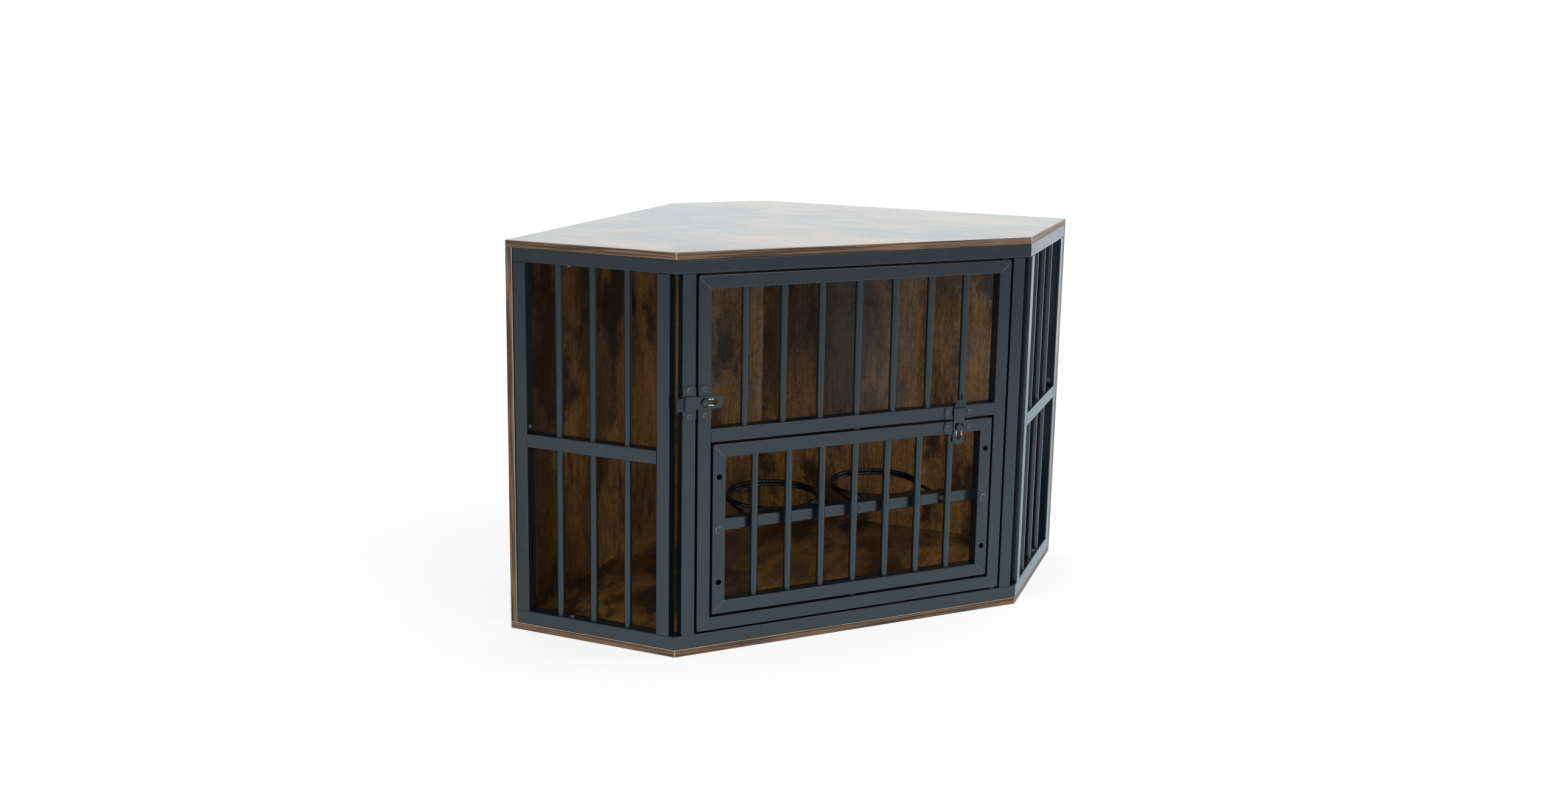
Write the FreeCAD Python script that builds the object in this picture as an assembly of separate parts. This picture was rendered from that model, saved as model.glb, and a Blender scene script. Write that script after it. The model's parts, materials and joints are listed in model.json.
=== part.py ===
import FreeCAD, Part
import math
import os
from FreeCAD import Placement, Rotation, Vector

# Corner dog crate end table, millimetres, +Z up. The origin is on the floor, under the middle of
# the table's depth and width. The doors are on the -Y side. The plan is a hexagon: a wide front,
# two side frames at 45 degrees, two back boards at right angles to the side frames, and a short
# board across the rear corner.

# ---- driving dimensions -------------------------------------------------------------------
front_width = 632.0          # front edge of the boards
side_width = 300.0           # each slanted side edge
back_width = 607.0           # each back board's edge
total_height = 650.0
board = 12.0                 # thickness of every board
tube = 22.2                  # outer size of the square tube
tube_wall = 1.2
tube_corner = 1.8            # outer corner radius of the square tube
bar_diameter = 12.7
bar_wall = 1.0
corner_setback = 11.0        # from a front corner to the nearest post, along either panel
board_gap = 1.0              # side frame to back board
door_gap = 3.5               # beside each door
main_door_gap_z = 2.6        # above and below the main door
mid_rail_height = 358.4      # centre line of the main door's mid rail
door_corner = 5.0            # outer corner radius of both doors
edge_round = 0.8             # softened edges of the top and floor boards

crossbar_size = 20.0         # square tube behind the feeder door
crossbar_reach = 249.0       # half of its length
hole_step = 87.0             # between the three holes of a feeder stile
hole_diameter = 9.0
bolt_diameter = 6.0
bolt_head_diameter = 13.4
bolt_head_height = 2.8
bolt_key_radius = 2.3        # corner radius of the hexagon socket
bolt_key_depth = 1.6
bolt_past_bar = 2.0          # how far a bolt's end shows behind the crossbar
ring_wire = 6.0
ring_radius = 77.0           # centre line of the wire
ring_spacing = 97.5          # from the middle to a ring's centre
ring_clearance = 2.0         # crossbar to the front of a ring

pin_diameter = 8.0
bush_diameter = 12.0
bush_flange_diameter = 16.0
bush_depth = 7.0
bush_gap = 0.6               # bush flange to the fixed tube
pin_reach = 11.0             # into the tube on each side of a pivot gap
running_clearance = 0.05
pivot_depth = 8.0            # main door's pivot, from its front face

plate_width = 22.0
plate_length = 56.0
plate_end_radius = 20.0
sheet = 1.5                  # thickness of all latch sheet metal
slide_clearance = 0.15
plate_arch_margin = 8.0      # length of a plate's arched end
strap_round = 1.2
strap_width = 15.5
slider_width = 20.4
slider_length = 81.0
slider_end_radius = 14.0
slot_width = 8.4
slot_margin = 8.0            # from the slider's end to the slot
keyhole_radius = 8.3
keyhole_offset = 1.8         # keyhole centre, from the stud towards the tab
stud_from_end = 29.5         # stud centre at rest, from the slider's end
tab_start = 63.5             # where the finger tab bends up, from the slider's end
tab_angle = 28.0
tab_bend_radius = 3.0
stud_radius = 3.6
stud_head_radius = 6.3
stud_head_height = 2.2
latch_screw_offset = 20.6
main_latch_height = 413.5
feeder_latch_x = 187.0

small_screw = (2.0, 4.0, 2.2, 9.0)       # shank radius, head radius, head height, length
leg_screw = (2.0, 3.6, 2.0, 27.0)
frame_screw = (2.5, 4.6, 2.4, 31.0)
recess_width = 1.0           # cross recess
recess_depth = 1.1
recess_reach = 2.3           # from its centre to the end of an arm
head_round = 0.4             # share of a head's height that is rounded

board_screw_radius = 3.0     # countersunk screws under the floor board
board_screw_head = 5.0
board_screw_sunk = 0.4       # head below the board's face
board_screw_key = (1.8, 2.4)  # socket radius and depth
board_screw_length = 45.0
rail_screw_length = 18.0
rail_screw_x = 180.0         # the two that hold the front rail
side_screw_place = 190.0     # along a side rail, from its front corner
post_screw_rise = 10.0       # above the top of the side's mid rail
fixing_shares = (0.2, 0.8)   # fixings along each back board
cam_drop = 20.0              # cam centre below the top board
cam_radius = 6.0
cam_depth = 9.0
cam_bolt_radius = 2.5
cam_bolt_rise = 8.0          # into the top board

# ---- derived places -----------------------------------------------------------------------
slope = math.sqrt(0.5)
depth = (side_width + back_width) * slope
front_y = -depth / 2
rail_low = board + tube
rail_high = total_height - board - tube
ceiling = total_height - board
half_front = front_width / 2
side_end = side_width - board - board_gap
mitre = math.tan(math.radians(22.5))

post_outer = half_front - corner_setback
door_half = post_outer - tube - door_gap
door_low = rail_low + main_door_gap_z
door_high = rail_high - main_door_gap_z
mid_low = mid_rail_height - tube / 2
mid_high = mid_rail_height + tube / 2
feeder_half = door_half - tube - door_gap
feeder_low = door_low + tube + door_gap
feeder_high = mid_low - door_gap
feeder_mid = (feeder_low + feeder_high) / 2
stile_x = feeder_half - tube / 2
ring_y = tube + crossbar_size + ring_clearance + ring_radius + ring_wire / 2
pivot_x = door_half - tube / 2

parts = {}


# ---- helpers ------------------------------------------------------------------------------
def block(x0, x1, y0, y1, z0, z1):
    """A box between two corners; y is measured from the front face of the table."""
    return Part.makeBox(x1 - x0, y1 - y0, z1 - z0, Vector(x0, y0 + front_y, z0))


def rod(radius, start, end, y_from_front=True):
    """A round rod from start to end; y is measured from the front face."""
    shift = Vector(0, front_y if y_from_front else 0, 0)
    a = Vector(*start) + shift
    along = Vector(*end) + shift - a
    return Part.makeCylinder(radius, along.Length, a, along)


def edges_along(shape, direction):
    """The straight edges of a shape that run along a direction."""
    chosen = []
    for edge in shape.Edges:
        run = edge.Vertexes[-1].Point - edge.Vertexes[0].Point
        if run.Length > 1e-6 and run.normalize().cross(direction).Length < 1e-6:
            chosen.append(edge)
    return chosen


def square_tube(x0, x1, z0, z1, run, y0=0.0, size=tube):
    """A hollow square tube that runs along "x" or "z", open at both ends."""
    outer = block(x0, x1, y0, y0 + size, z0, z1)
    direction = Vector(1, 0, 0) if run == "x" else Vector(0, 0, 1)
    outer = outer.makeFillet(tube_corner, edges_along(outer, direction))
    in_x = -1.0 if run == "x" else tube_wall
    in_z = -1.0 if run == "z" else tube_wall
    inner = block(x0 + in_x, x1 - in_x, y0 + tube_wall, y0 + size - tube_wall, z0 + in_z, z1 - in_z)
    return outer.cut(inner)


def prism_xy(points, z0, z1):
    """An upright prism on a plan outline; y is measured from the front face."""
    outline = [Vector(x, y + front_y, z0) for x, y in points]
    return Part.Face(Part.makePolygon(outline + outline[:1])).extrude(Vector(0, 0, z1 - z0))


def prism_xz(points, y0, y1):
    """A prism along Y on an outline in the front plane."""
    outline = [Vector(x, y0 + front_y, z) for x, z in points]
    return Part.Face(Part.makePolygon(outline + outline[:1])).extrude(Vector(0, y1 - y0, 0))


def round_bar(x, z0, z1, y=tube / 2):
    outer = rod(bar_diameter / 2, (x, y, z0), (x, y, z1))
    return outer.cut(rod(bar_diameter / 2 - bar_wall, (x, y, z0 - 1), (x, y, z1 + 1)))


def bar_places(low, high, count):
    """Bar centres with equal clear gaps between two tube faces."""
    gap = (high - low - count * bar_diameter) / (count + 1)
    return [low + gap + bar_diameter / 2 + i * (gap + bar_diameter) for i in range(count)]


def pan_screw(spec, point, direction):
    """A pan-head screw with a cross recess. The head's underside is at point."""
    shank, head, height, length = spec
    into = Vector(*direction).normalize()
    screw = Part.makeCylinder(shank, length, Vector(0, 0, 0), Vector(0, 0, 1))
    cap = Part.makeCylinder(head, height, Vector(0, 0, -height), Vector(0, 0, 1))
    rim = [edge for edge in cap.Edges if abs(edge.BoundBox.ZMax + height) < 1e-6
           and isinstance(edge.Curve, Part.Circle)]
    cap = cap.makeFillet(height * head_round, rim)
    for turn in (0, 90):
        slit = Part.makeBox(2 * recess_reach, recess_width, recess_depth,
                            Vector(-recess_reach, -recess_width / 2, -height))
        slit.rotate(Vector(0, 0, 0), Vector(0, 0, 1), turn)
        cap = cap.cut(slit)
    screw = screw.fuse(cap).removeSplitter()
    screw.Placement = Placement(Vector(*point), Rotation(Vector(0, 0, 1), into))
    return screw


def at_front(x, y, z):
    """A point given from the front face, in the table's own axes."""
    return Vector(x, y + front_y, z)


def to_right_side(shape):
    """Swing a panel built at the front, from x = 0, onto the right-hand slanted side."""
    moved = shape.copy()
    moved.rotate(Vector(0, front_y, 0), Vector(0, 0, 1), 45)
    moved.translate(Vector(half_front, 0, 0))
    return moved


def mirrored(shape):
    return shape.mirror(Vector(0, 0, 0), Vector(1, 0, 0))


def add(name, *solids):
    parts.setdefault(name, []).extend(solids)


def bore(name, *tools):
    """Cut holes in one sub-part with the solids that sit in it."""
    cut = []
    for solid in parts[name]:
        for tool in tools:
            solid = solid.cut(tool)
        cut.extend(solid.Solids)
    parts[name] = cut


# ---- boards -------------------------------------------------------------------------------
def plan_points():
    """Corners of the hexagon on the right-hand side, front to rear, y from the front face."""
    front = (half_front, 0.0)
    side = (half_front + side_width * slope, side_width * slope)
    rear = (side[0] - back_width * slope, side[1] + back_width * slope)
    return front, side, rear


def full_board(z0):
    right = plan_points()
    left = [(-x, y) for x, y in reversed(right)]
    slab = prism_xy(list(right) + left, z0, z0 + board)
    rims = [edge for edge in slab.Edges if edge.BoundBox.ZLength < 1e-6]
    return slab.makeFillet(edge_round, rims)


def make_boards():
    front, side, rear = plan_points()
    add("top_board", full_board(ceiling))
    add("floor_board", full_board(0.0))
    inward = board * slope
    side_in = (side[0] - inward, side[1] - inward)
    # the back boards and the rear corner board meet on a mitre
    rear_in = (rear[0] - board * mitre, rear[1] - board)
    right_back = prism_xy([side, rear, rear_in, side_in], board, ceiling)
    add("right_back_board", right_back)
    add("left_back_board", mirrored(right_back))
    corner = [rear, (-rear[0], rear[1]), (-rear_in[0], rear_in[1]), rear_in]
    add("rear_corner_board", prism_xy(corner, board, ceiling))


# ---- fixed frames -------------------------------------------------------------------------
def make_front_frame():
    notch = tube * mitre
    plan = [(-half_front, 0), (half_front, 0), (half_front - notch, tube), (-half_front + notch, tube)]
    for name, z0 in (("front_bottom_rail", board), ("front_top_rail", rail_high)):
        rail = square_tube(-half_front, half_front, z0, z0 + tube, "x")
        add(name, rail.common(prism_xy(plan, z0, z0 + tube)))
    post = square_tube(post_outer - tube, post_outer, rail_low, rail_high, "z")
    add("front_right_post", post)
    add("front_left_post", mirrored(post))


def make_side_frames():
    middle = total_height / 2
    notch = tube * mitre
    plan = [(0, 0), (side_end, 0), (side_end, tube), (notch, tube)]
    pieces = {}
    for name, z0 in (("bottom_rail", board), ("top_rail", rail_high)):
        rail = square_tube(0, side_end, z0, z0 + tube, "x")
        pieces[name] = [rail.common(prism_xy(plan, z0, z0 + tube))]
    near = corner_setback
    far = side_end - tube
    pieces["front_post"] = [square_tube(near, near + tube, rail_low, rail_high, "z")]
    pieces["rear_post"] = [square_tube(far, far + tube, rail_low, rail_high, "z")]
    pieces["mid_rail"] = [square_tube(near + tube, far, middle - tube / 2, middle + tube / 2, "x")]
    pieces["bars"] = []
    for low, high in ((rail_low, middle - tube / 2), (middle + tube / 2, rail_high)):
        pieces["bars"] += [round_bar(x, low, high) for x in bar_places(near + tube, far, 3)]
    for name, solids in pieces.items():
        swung = [to_right_side(solid) for solid in solids]
        add("right_" + name, *swung)
        add("left_" + name, *[mirrored(solid) for solid in swung])


# ---- doors --------------------------------------------------------------------------------
def make_door_frame(prefix, half, low, high):
    """Four tubes with 45 degree mitres, inside one outline with rounded corners."""
    slab = block(-half, half, 0, tube, low, high)
    slab = slab.makeFillet(door_corner, edges_along(slab, Vector(0, 1, 0)))
    left, right = -half, half
    stile = [(left, low), (left + tube, low + tube), (left + tube, high - tube), (left, high)]
    rail = [(left, low), (left + tube, low + tube), (right - tube, low + tube), (right, low)]
    upper = [(x, low + high - z) for x, z in rail]
    cutter = slab.common(prism_xz(stile, 0, tube))
    left_stile = square_tube(left, left + tube, low, high, "z").common(cutter)
    add(prefix + "left_stile", left_stile)
    add(prefix + "right_stile", mirrored(left_stile))
    bottom = square_tube(left, right, low, low + tube, "x")
    add(prefix + "bottom_rail", bottom.common(slab.common(prism_xz(rail, 0, tube))))
    top = square_tube(left, right, high - tube, high, "x")
    add(prefix + "top_rail", top.common(slab.common(prism_xz(upper, 0, tube))))


def make_main_door():
    make_door_frame("door_", door_half, door_low, door_high)
    inner = door_half - tube
    add("door_mid_rail", square_tube(-inner, inner, mid_low, mid_high, "x"))
    places = bar_places(-inner, inner, 7)
    add("door_bars", *[round_bar(x, mid_high, door_high - tube) for x in places])


def make_feeder_door():
    make_door_frame("feeder_", feeder_half, feeder_low, feeder_high)
    inner = feeder_half - tube
    places = bar_places(-inner, inner, 7)
    low, high = feeder_low + tube, feeder_high - tube
    add("feeder_bars", *[round_bar(x, low, high) for x in places])
    holes = []
    for step in (-hole_step, 0, hole_step):
        z = feeder_mid + step
        holes.append(rod(hole_diameter / 2, (stile_x, -1, z), (stile_x, tube + 1, z)))
    bore("feeder_right_stile", *holes)
    bore("feeder_left_stile", *[mirrored(hole) for hole in holes])


# ---- bowl carrier -------------------------------------------------------------------------
def make_bowl_carrier():
    back = tube + crossbar_size
    half = crossbar_size / 2
    crossbar = square_tube(-crossbar_reach, crossbar_reach, feeder_mid - half, feeder_mid + half,
                           "x", tube, crossbar_size)
    add("bowl_crossbar", crossbar)
    wire = ring_wire / 2
    for side, name in ((-1, "left"), (1, "right")):
        centre = side * ring_spacing
        hub = at_front(centre, ring_y, feeder_mid)
        arch = Part.makeTorus(ring_radius, wire, hub, Vector(0, 0, 1), -180, 180, 180)
        cradle = arch
        for leg in (-1, 1):
            x = centre + leg * ring_radius
            cradle = cradle.fuse(rod(wire, (x, back, feeder_mid), (x, ring_y, feeder_mid)))
        add(name + "_cradle_wire", cradle.removeSplitter())
        lift = Vector(0, 0, ring_wire)
        add(name + "_bowl_ring", Part.makeTorus(ring_radius, wire, hub + lift))
        for leg in (-1, 1):
            x = centre + leg * ring_radius
            screw = pan_screw(leg_screw, at_front(x, tube, feeder_mid), (0, 1, 0))
            add("ring_leg_screws", screw)
            bore("bowl_crossbar", screw)
            bore(name + "_cradle_wire", screw)
    for side in (-1, 1):
        x = side * stile_x
        shank = rod(bolt_diameter / 2, (x, 0, feeder_mid), (x, back + bolt_past_bar, feeder_mid))
        head = rod(bolt_head_diameter / 2, (x, -bolt_head_height, feeder_mid), (x, 0, feeder_mid))
        rim = [edge for edge in head.Edges if isinstance(edge.Curve, Part.Circle)
               and edge.BoundBox.YMax < front_y - bolt_head_height / 2]
        head = head.makeFillet(bolt_head_height * head_round, rim)
        corners = [math.radians(angle) for angle in range(0, 361, 60)]
        key = Part.makePolygon([at_front(x + bolt_key_radius * math.cos(a), -bolt_head_height,
                                         feeder_mid + bolt_key_radius * math.sin(a))
                                for a in corners])
        socket = Part.Face(key).extrude(Vector(0, bolt_key_depth, 0))
        bolt = shank.fuse(head).cut(socket)
        add("crossbar_bolts", bolt)
        bore("bowl_crossbar", bolt)


# ---- pivots -------------------------------------------------------------------------------
def make_pivot(pins, bushes, x, y, fixed_face, moving_face, fixed_node, moving_node):
    """A pin fixed in one tube that turns in a flanged bush in the other tube."""
    up = 1 if moving_face > fixed_face else -1
    inside = moving_face + up * pin_reach
    pin = rod(pin_diameter / 2, (x, y, fixed_face - up * pin_reach), (x, y, inside))
    flange_low = fixed_face + up * bush_gap
    bush = rod(bush_flange_diameter / 2, (x, y, flange_low), (x, y, moving_face))
    bush = bush.fuse(rod(bush_diameter / 2, (x, y, flange_low), (x, y, moving_face + up * bush_depth)))
    hole = rod(pin_diameter / 2 + running_clearance, (x, y, fixed_face), (x, y, inside + up))
    add(pins, pin)
    add(bushes, bush.cut(hole).removeSplitter())
    bore(fixed_node, pin)
    bore(moving_node, rod(bush_diameter / 2, (x, y, fixed_face), (x, y, moving_face + up * bush_depth)))


def make_pivots():
    make_pivot("door_pivot_pins", "door_pivot_bushes", pivot_x, pivot_depth,
               rail_low, door_low, "front_bottom_rail", "door_bottom_rail")
    make_pivot("door_pivot_pins", "door_pivot_bushes", pivot_x, pivot_depth,
               rail_high, door_high, "front_top_rail", "door_top_rail")
    make_pivot("feeder_pivot_pins", "feeder_pivot_bushes", 0, tube / 2,
               mid_low, feeder_high, "door_mid_rail", "feeder_top_rail")
    make_pivot("feeder_pivot_pins", "feeder_pivot_bushes", 0, tube / 2,
               door_low + tube, feeder_low, "door_bottom_rail", "feeder_bottom_rail")


# ---- latches ------------------------------------------------------------------------------
# A latch is built about its stud: the tab points along +X, and Y = 0 is the front of the tubes.
def latch_sheet(outline_box, depth_low, depth_high):
    x0, x1, z0, z1 = outline_box
    return Part.makeBox(x1 - x0, depth_high - depth_low, z1 - z0, Vector(x0, depth_low, z0))


def arched_plate(x):
    """A flat plate across the slide direction, with arched ends."""
    half = plate_length / 2
    straight = half - plate_arch_margin
    plate = latch_sheet((x - plate_width / 2, x + plate_width / 2, -half, half), -sheet, 0)
    for side in (-1, 1):
        centre = Vector(x, -sheet, side * (half - plate_end_radius))
        disc = Part.makeCylinder(plate_end_radius, sheet, centre, Vector(0, 1, 0))
        end = latch_sheet((x - plate_width, x + plate_width,
                           min(0, side * plate_length), max(0, side * plate_length)), -sheet, 0)
        core = latch_sheet((x - plate_width, x + plate_width, -straight, straight), -sheet, 0)
        plate = plate.cut(end.cut(core).cut(disc))
    return plate


def strap_plate(x):
    """The plate with a raised strap that the slider passes under."""
    opening = slider_width / 2 + slide_clearance * 2
    low = -(2 * sheet + 2 * slide_clearance)
    half = strap_width / 2
    box = (x - half, x + half, -opening - sheet, opening + sheet)
    strap = latch_sheet(box, low - sheet, -sheet)
    rims = [edge for edge in edges_along(strap, Vector(1, 0, 0)) if edge.BoundBox.YMax < low]
    strap = strap.makeFillet(strap_round, rims)
    tunnel = latch_sheet((x - half - 1, x + half + 1, -opening, opening), low, -sheet)
    return arched_plate(x).fuse(strap.cut(tunnel)).removeSplitter()


def slider_plate():
    """Flat slider with a keyhole slot and a finger tab that bends away from the door."""
    back = -(sheet + slide_clearance)
    start = -stud_from_end
    bend = start + tab_start
    half = slider_width / 2
    flat = latch_sheet((start, bend, -half, half), back - sheet, back)
    angle = math.radians(tab_angle)
    axis_y = back - sheet - tab_bend_radius
    sweep = Part.Face(Part.makePolygon([Vector(bend, y, z) for y, z in (
        (back, -half), (back - sheet, -half), (back - sheet, half), (back, half), (back, -half))]))
    curl = sweep.revolve(Vector(bend, axis_y, 0), Vector(0, 0, 1), -tab_angle)
    outer = tab_bend_radius + sheet
    end_x = bend + outer * math.sin(angle)
    end_y = axis_y + outer * math.cos(angle)
    tip_run = (start + slider_length - end_x) / math.cos(angle)
    tab = Part.makeBox(tip_run, sheet, 2 * half, Vector(0, -sheet, -half))
    tab.rotate(Vector(0, 0, 0), Vector(0, 0, 1), -tab_angle)
    tab.translate(Vector(end_x, end_y, 0))
    body = flat.fuse(curl).fuse(tab).removeSplitter()
    # rounded ends, cut square to the door
    reach = slider_length
    rise = slider_end_radius - math.sqrt(slider_end_radius ** 2 - half ** 2)
    for side, tip in ((-1, start), (1, start + slider_length)):
        centre = Vector(tip - side * slider_end_radius, -reach, 0)
        disc = Part.makeCylinder(slider_end_radius, 2 * reach, centre, Vector(0, 1, 0))
        chunk = Part.makeBox(rise + 1, 2 * reach, 2 * slider_width,
                             Vector(tip - rise if side > 0 else tip - 1, -reach, -slider_width))
        body = body.cut(chunk.cut(disc))
    slot_end = start + slot_margin + slot_width / 2
    keyhole = Part.makeCylinder(keyhole_radius, reach, Vector(keyhole_offset, -reach, 0),
                                Vector(0, 1, 0))
    slot = Part.makeCylinder(slot_width / 2, reach, Vector(slot_end, -reach, 0), Vector(0, 1, 0))
    narrow = Part.makeBox(keyhole_offset - slot_end, reach, slot_width,
                          Vector(slot_end, -reach, -slot_width / 2))
    return body.cut(keyhole.fuse(slot).fuse(narrow)).Solids[0]


def latch_stud():
    neck_top = -(2 * sheet + 2 * slide_clearance)
    neck = Part.makeCylinder(stud_radius, -neck_top, Vector(0, 0, 0), Vector(0, -1, 0))
    head = Part.makeCylinder(stud_head_radius, stud_head_height, Vector(0, neck_top, 0),
                             Vector(0, -1, 0))
    rim = [edge for edge in head.Edges if isinstance(edge.Curve, Part.Circle)
           and edge.BoundBox.YMax < neck_top - stud_head_height / 2]
    return neck.fuse(head.makeFillet(stud_head_height * head_round, rim)).removeSplitter()


def make_latch(prefix, centre, turn, strap_host, stud_host):
    pitch = tube + door_gap
    stud = latch_stud()
    screws = {}
    for key, x in (("strap", pitch), ("stud", 0.0)):
        screws[key] = [pan_screw(small_screw, (x, -sheet, side * latch_screw_offset), (0, 1, 0))
                       for side in (-1, 1)]
    pieces = {"strap_plate": [strap_plate(pitch)], "stud_plate": [arched_plate(0.0)],
              "stud": [stud], "slider": [slider_plate()],
              "strap_screws": screws["strap"], "stud_screws": screws["stud"]}
    for name, solids in pieces.items():
        for solid in solids:
            solid.rotate(Vector(0, 0, 0), Vector(0, 1, 0), turn)
            solid.translate(centre)
        add(prefix + name, *solids)
    bore(prefix + "strap_plate", *screws["strap"])
    bore(prefix + "stud_plate", stud, *screws["stud"])
    bore(strap_host, *screws["strap"])
    bore(stud_host, *screws["stud"])


def make_latches():
    stile_centre = door_half - tube / 2
    make_latch("main_latch_", at_front(-stile_centre, 0, main_latch_height), 180,
               "front_left_post", "door_left_stile")
    make_latch("feeder_latch_", at_front(feeder_latch_x, 0, feeder_high - tube / 2), -90,
               "door_mid_rail", "feeder_top_rail")


# ---- fixings of the boards ----------------------------------------------------------------
def both_sides(shape):
    return (shape, mirrored(shape))


def fix(name, hosts, shape):
    """Add a fixing on both sides and cut its hole in left_ and right_ (or shared) sub-parts."""
    for solid, side in zip(both_sides(shape), ("right_", "left_")):
        add(name, solid)
        for host in hosts:
            bore(host if host in parts else side + host, solid)


def make_frame_screws():
    above_mid = total_height / 2 + tube / 2 + post_screw_rise
    far = side_end - tube
    low = pan_screw(frame_screw, at_front(side_screw_place, tube / 2, rail_low), (0, 0, -1))
    fix("frame_screws", ("bottom_rail", "floor_board"), to_right_side(low))
    high = pan_screw(frame_screw, at_front(side_screw_place, tube / 2, rail_high), (0, 0, 1))
    fix("frame_screws", ("top_rail", "top_board"), to_right_side(high))
    post = pan_screw(frame_screw, at_front(far, tube / 2, above_mid), (1, 0, 0))
    fix("frame_screws", ("rear_post", "back_board"), to_right_side(post))


def countersunk(x, y, length):
    """A countersunk screw that goes up through the floor board, sunk just below its underside."""
    low = board_screw_sunk
    shank = rod(board_screw_radius, (x, y, low), (x, y, length))
    cone = Part.makeCone(board_screw_head, board_screw_radius, board_screw_head - board_screw_radius,
                         at_front(x, y, low), Vector(0, 0, 1))
    key_radius, key_depth = board_screw_key
    return shank.fuse(cone).cut(rod(key_radius, (x, y, 0), (x, y, key_depth))).removeSplitter()


def make_board_fixings():
    front, side, rear = plan_points()
    run = ((rear[0] - side[0]) / back_width, (rear[1] - side[1]) / back_width)
    centre = (side[0] - board / 2 * slope, side[1] - board / 2 * slope)
    cam_height = ceiling - cam_drop
    bolt_top = ceiling + cam_bolt_rise
    inward = Vector(-slope, -slope, 0)
    for share in fixing_shares:
        x = centre[0] + run[0] * back_width * share
        y = centre[1] + run[1] * back_width * share
        screw = countersunk(x, y, board_screw_length)
        fix("floor_board_screws", ("floor_board", "back_board"), screw)
        seat = at_front(x, y, cam_height) - inward * (cam_depth - board / 2)
        cam = Part.makeCylinder(cam_radius, cam_depth, seat, inward)
        bolt = rod(cam_bolt_radius, (x, y, cam_height), (x, y, bolt_top))
        fix("cam_nuts", ("back_board",), cam)
        fix("cam_bolts", ("cam_nuts", "back_board", "top_board"), bolt)
    y = rear[1] - board / 2
    screw = countersunk(0.0, y, board_screw_length)
    cam = Part.makeCylinder(cam_radius, cam_depth, at_front(0.0, rear[1] - board, cam_height),
                            Vector(0, 1, 0))
    bolt = rod(cam_bolt_radius, (0, y, cam_height), (0, y, bolt_top))
    for name, solid in (("floor_board_screws", screw), ("cam_nuts", cam), ("cam_bolts", bolt)):
        add(name, solid)
        bore("rear_corner_board", solid)
    bore("floor_board", screw)
    bore("top_board", bolt)
    bore("cam_nuts", bolt)
    for x in (-rail_screw_x, rail_screw_x):
        rail_screw = countersunk(x, tube / 2, rail_screw_length)
        add("floor_board_screws", rail_screw)
        bore("floor_board", rail_screw)
        bore("front_bottom_rail", rail_screw)


# ---- build --------------------------------------------------------------------------------
def build():
    make_boards()
    make_front_frame()
    make_side_frames()
    make_main_door()
    make_feeder_door()
    make_bowl_carrier()
    make_pivots()
    make_latches()
    make_frame_screws()
    make_board_fixings()
    os.makedirs("parts", exist_ok=True)
    for name, solids in sorted(parts.items()):
        shape = solids[0] if len(solids) == 1 else Part.makeCompound(solids)
        if not shape.isValid():
            raise ValueError(name + " is not a valid shape")
        shape.exportStep("parts/" + name + ".step")
        print("%-28s %2d  %10.1f mm3" % (name, len(solids), shape.Volume))
    print(len(parts), "sub-parts")


build()
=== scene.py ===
import json
import math

import bpy
from mathutils import Matrix, Vector


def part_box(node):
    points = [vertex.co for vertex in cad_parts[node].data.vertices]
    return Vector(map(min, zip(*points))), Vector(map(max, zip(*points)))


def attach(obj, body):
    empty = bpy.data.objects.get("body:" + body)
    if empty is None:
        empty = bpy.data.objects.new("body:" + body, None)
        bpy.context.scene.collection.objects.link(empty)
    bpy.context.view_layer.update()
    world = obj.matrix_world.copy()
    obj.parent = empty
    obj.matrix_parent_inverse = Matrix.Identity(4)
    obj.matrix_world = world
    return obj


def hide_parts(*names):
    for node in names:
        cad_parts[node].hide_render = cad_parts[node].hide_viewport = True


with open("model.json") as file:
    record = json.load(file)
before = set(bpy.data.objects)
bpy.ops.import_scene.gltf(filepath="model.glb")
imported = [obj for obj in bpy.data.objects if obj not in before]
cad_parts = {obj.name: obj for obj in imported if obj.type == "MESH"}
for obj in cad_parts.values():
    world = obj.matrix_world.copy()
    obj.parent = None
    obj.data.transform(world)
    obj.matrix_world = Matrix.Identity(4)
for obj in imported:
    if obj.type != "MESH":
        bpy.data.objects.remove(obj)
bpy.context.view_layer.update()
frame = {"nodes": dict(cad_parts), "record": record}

bl_info = {
    "name": "Corner dog crate end table",
    "version": (1, 0, 0),
    "blender": (4, 5, 0),
    "location": "View3D > Sidebar > Dog Crate",
    "description": "Finishes a corner dog crate end table around its construction model",
    "category": "Object",
}

MM = 0.001

# ---- what the construction model says -----------------------------------------------------------
body_of = {node: body for body, nodes in frame["record"]["behaviour"]["bodies"].items()
           for node in nodes}
slot_of = {row["node"]: row["material_slot"] for row in frame["record"]["subparts"]}


def size_of(node):
    low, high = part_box(node)
    return high - low


def centre_of(node):
    low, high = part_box(node)
    return (low + high) / 2


TUBE = size_of("front_left_post").x
BOARD = size_of("floor_board").z
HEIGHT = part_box("top_board")[1].z
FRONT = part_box("front_bottom_rail")[0].y
HALF_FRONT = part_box("front_bottom_rail")[1].x
SIDE_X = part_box("floor_board")[1].x
REAR_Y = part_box("floor_board")[1].y
REAR_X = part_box("rear_corner_board")[1].x
RING_WIRE = size_of("left_bowl_ring").z
RING_RADIUS = (size_of("left_bowl_ring").x - RING_WIRE) / 2
SLOPE = math.sqrt(0.5)
SIDE_Y = FRONT + (SIDE_X - HALF_FRONT)


# ---- sizes, colours and stage that can be changed -----------------------------------------------
def length(name, description, default, smallest=0.0):
    return bpy.props.FloatProperty(name=name, description=description, default=default,
                                   min=smallest, subtype="DISTANCE", unit="LENGTH", precision=5)


def colour(name, description, default):
    return bpy.props.FloatVectorProperty(name=name, description=description, default=default,
                                         size=3, min=0.0, max=1.0, subtype="COLOR")


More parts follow.
